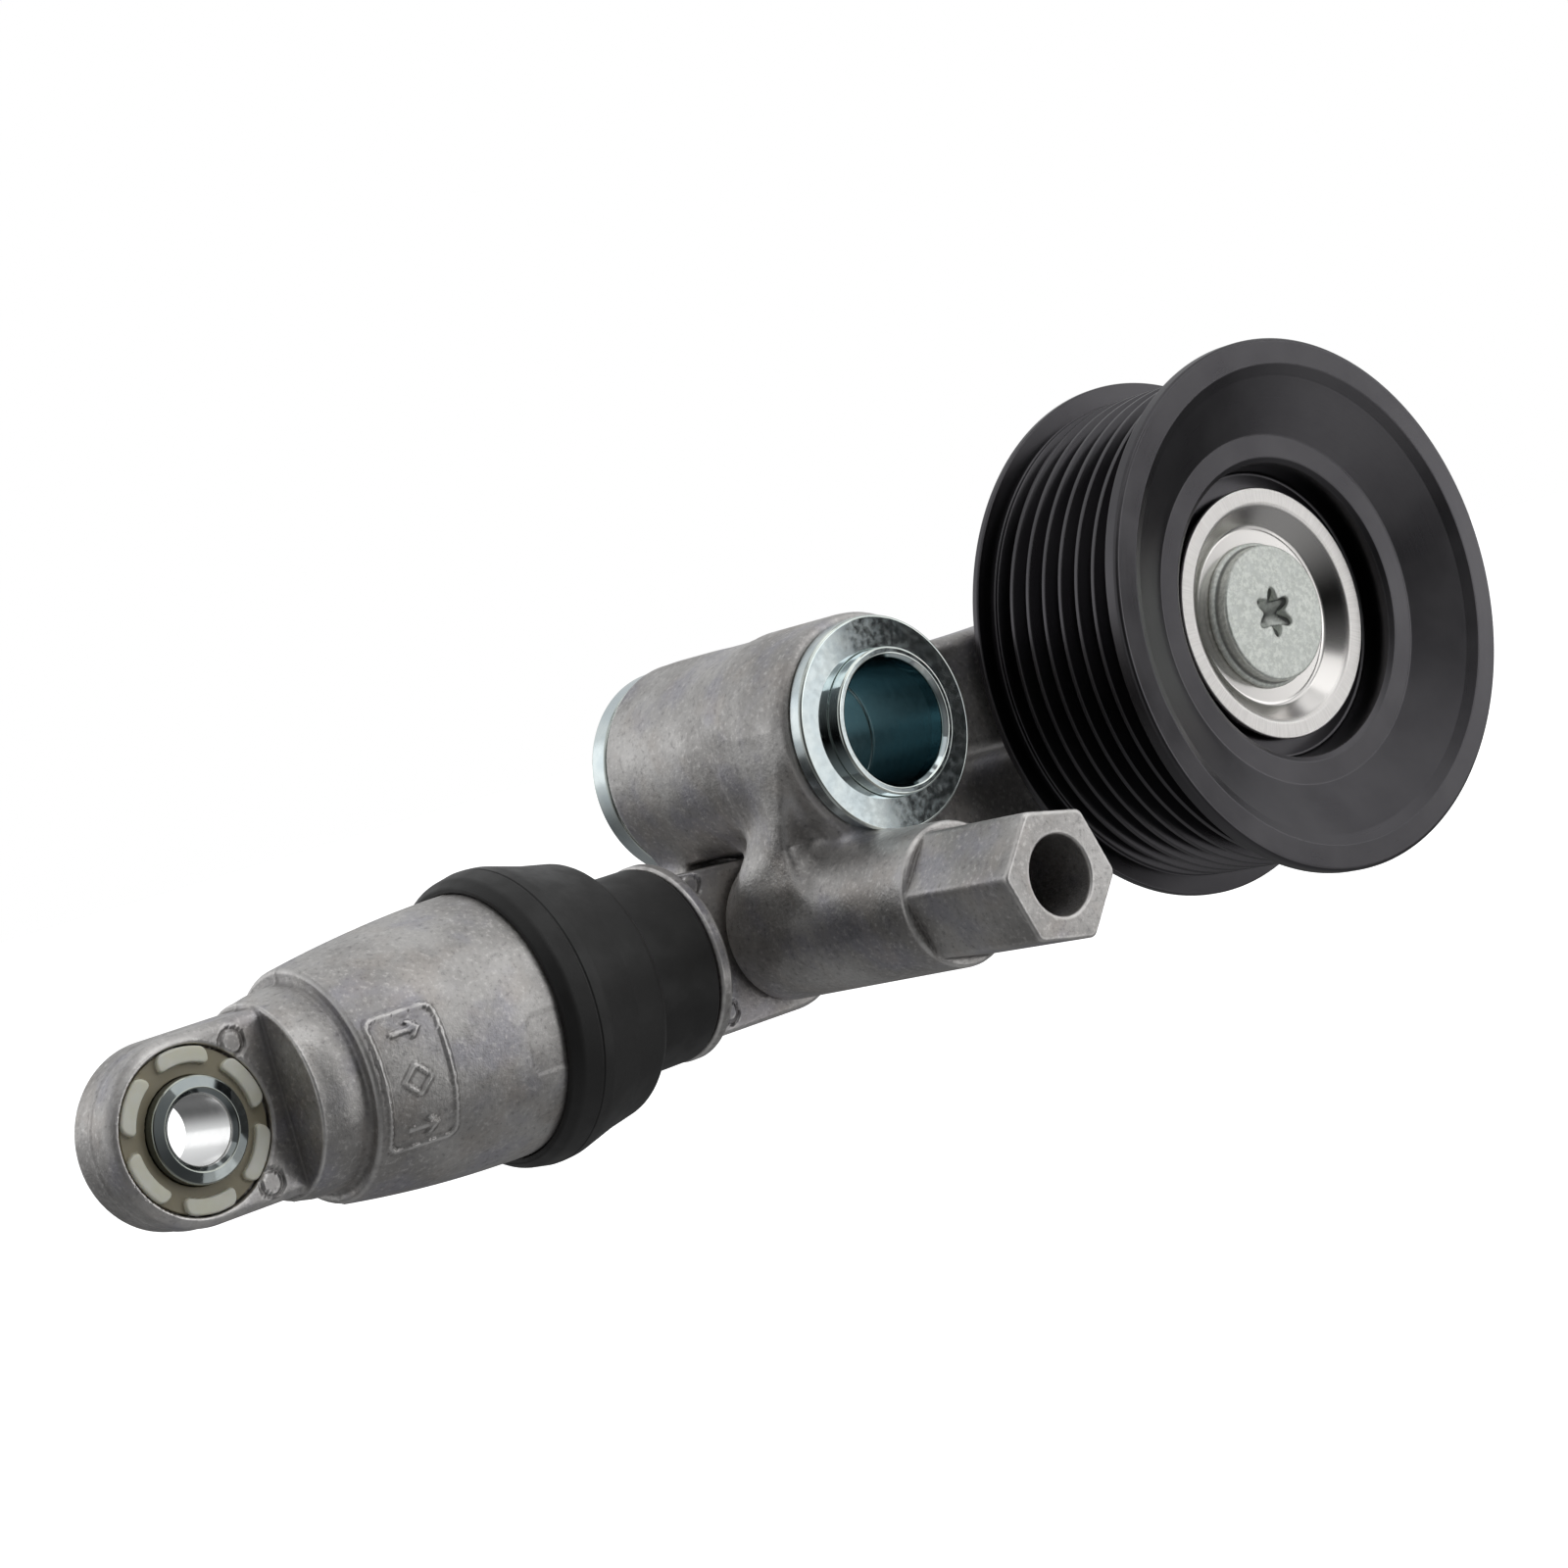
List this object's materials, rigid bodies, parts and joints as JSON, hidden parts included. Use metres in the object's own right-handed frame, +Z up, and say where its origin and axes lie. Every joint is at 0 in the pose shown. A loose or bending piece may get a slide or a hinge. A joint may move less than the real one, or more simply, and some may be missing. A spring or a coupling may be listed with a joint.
{
  "type": "hydraulic belt tensioner with idler pulley",
  "caption": "Cast swing arm with a grooved idler pulley on a ball bearing, held against the belt by a booted hydraulic spring strut.",
  "frame": {"origin": "on the pivot axis, at the front face of the front thrust washer", "axes": "+X along the strut towards the pulley, -Y out of the pivot bore towards the front, +Z up"},
  "size_m": [0.2447, 0.0849, 0.0841],
  "materials": {
    "cast_aluminium": "die-cast, matt, mottled warm grey",
    "zinc_steel": "bright zinc plate with a blue cast",
    "bolt_zinc": "zinc flake, grey-green, speckled",
    "shield_steel": "bright steel, radially brushed",
    "bearing_steel": "ground bearing steel",
    "cage_steel": "pressed steel strip",
    "tool_steel": "turned and ground steel",
    "spring_steel": "dark oiled spring wire",
    "pulley_black": "satin black coat over turned steel",
    "boot_rubber": "moulded matt black rubber",
    "seal_rubber": "black nitrile",
    "nylon": "unfilled nylon, creamy off-white",
    "bush_bronze": "bronze with a grey lining",
    "thrust_polymer": "black filled polymer"
  },
  "bodies": {
    "pivot": {"pivot_sleeve": "zinc_steel", "thrust_washer": "zinc_steel"},
    "arm": {"arm_casting": "cast_aluminium", "pivot_bush_front": "bush_bronze", "pivot_bush_rear": "bush_bronze", "thrust_disc_front": "thrust_polymer", "thrust_disc_rear": "thrust_polymer", "clevis_pin": "tool_steel", "pin_washer": "zinc_steel", "pin_clip": "spring_steel", "pulley_bolt": "bolt_zinc", "dust_shield": "shield_steel", "bearing_inner_ring": "bearing_steel"},
    "pulley": {"pulley": "pulley_black", "bearing_outer_ring": "bearing_steel", "bearing_seal_front": "seal_rubber", "bearing_seal_rear": "seal_rubber"},
    "bearing_cage": {"bearing_cage": "cage_steel", "bearing_balls": "bearing_steel"},
    "strut_upper": {"strut_rod_end": "cast_aluminium", "upper_eye_bush": "nylon", "piston_rod": "tool_steel", "plunger": "tool_steel", "check_valve_cap": "tool_steel", "check_valve_spring": "spring_steel", "boot": "boot_rubber"},
    "check_ball": {"check_ball": "bearing_steel"},
    "strut_lower": {"strut_housing": "cast_aluminium", "lower_eye_bush": "nylon", "cylinder_sleeve": "tool_steel", "cylinder_seal": "seal_rubber", "snap_ring": "spring_steel", "main_spring": "spring_steel"},
    "eye_sleeve": {"lower_eye_sleeve": "zinc_steel"}
  },
  "joints": [
    {"name": "arm_swing", "type": "hinge", "parent": "pivot", "child": "arm", "pos_m": [0, 0, 0], "axis": [0, 1, 0], "range_deg": [0, 22], "stiffness_Nm_per_rad": 15.2, "springref_deg": -38.22},
    {"name": "pulley_spin", "type": "hinge", "parent": "arm", "child": "pulley", "pos_m": [0.0857, 0.014, -0.0018], "axis": [0, 1, 0], "continuous": true},
    {"name": "cage_spin", "type": "hinge", "parent": "arm", "child": "bearing_cage", "pos_m": [0.0857, 0.014, -0.0018], "axis": [0, 1, 0], "continuous": true},
    {"name": "strut_tilt", "type": "hinge", "parent": "arm", "child": "strut_upper", "pos_m": [-0.0067, 0.0313, -0.0242], "axis": [0, 1, 0], "range_deg": [-24.6, 0]},
    {"name": "strut_slide", "type": "slide", "parent": "strut_upper", "child": "strut_lower", "axis": [1, 0, 0], "range_m": [0, 0.0087], "deforming": ["main_spring", "boot"]},
    {"name": "check_ball_lift", "type": "slide", "parent": "strut_upper", "child": "check_ball", "axis": [-1, 0, 0], "range_m": [0, 0.0006], "stiffness_N_per_m": 250, "springref_m": -0.0004, "deforming": ["check_valve_spring"]},
    {"name": "lower_eye_turn", "type": "hinge", "parent": "strut_lower", "child": "eye_sleeve", "pos_m": [-0.1058, 0.0313, -0.0242], "axis": [0, 1, 0], "range_deg": [0, 2.6]}
  ],
  "couplings": [
    {"joint": "cage_spin", "follows": "pulley_spin", "ratio": 0.6182},
    {"joint": "strut_tilt", "follows": "arm_swing", "ratio": -1.1128},
    {"joint": "strut_slide", "follows": "arm_swing", "m_per_rad": 0.022485},
    {"joint": "lower_eye_turn", "follows": "arm_swing", "ratio": 0.1128}
  ]
}
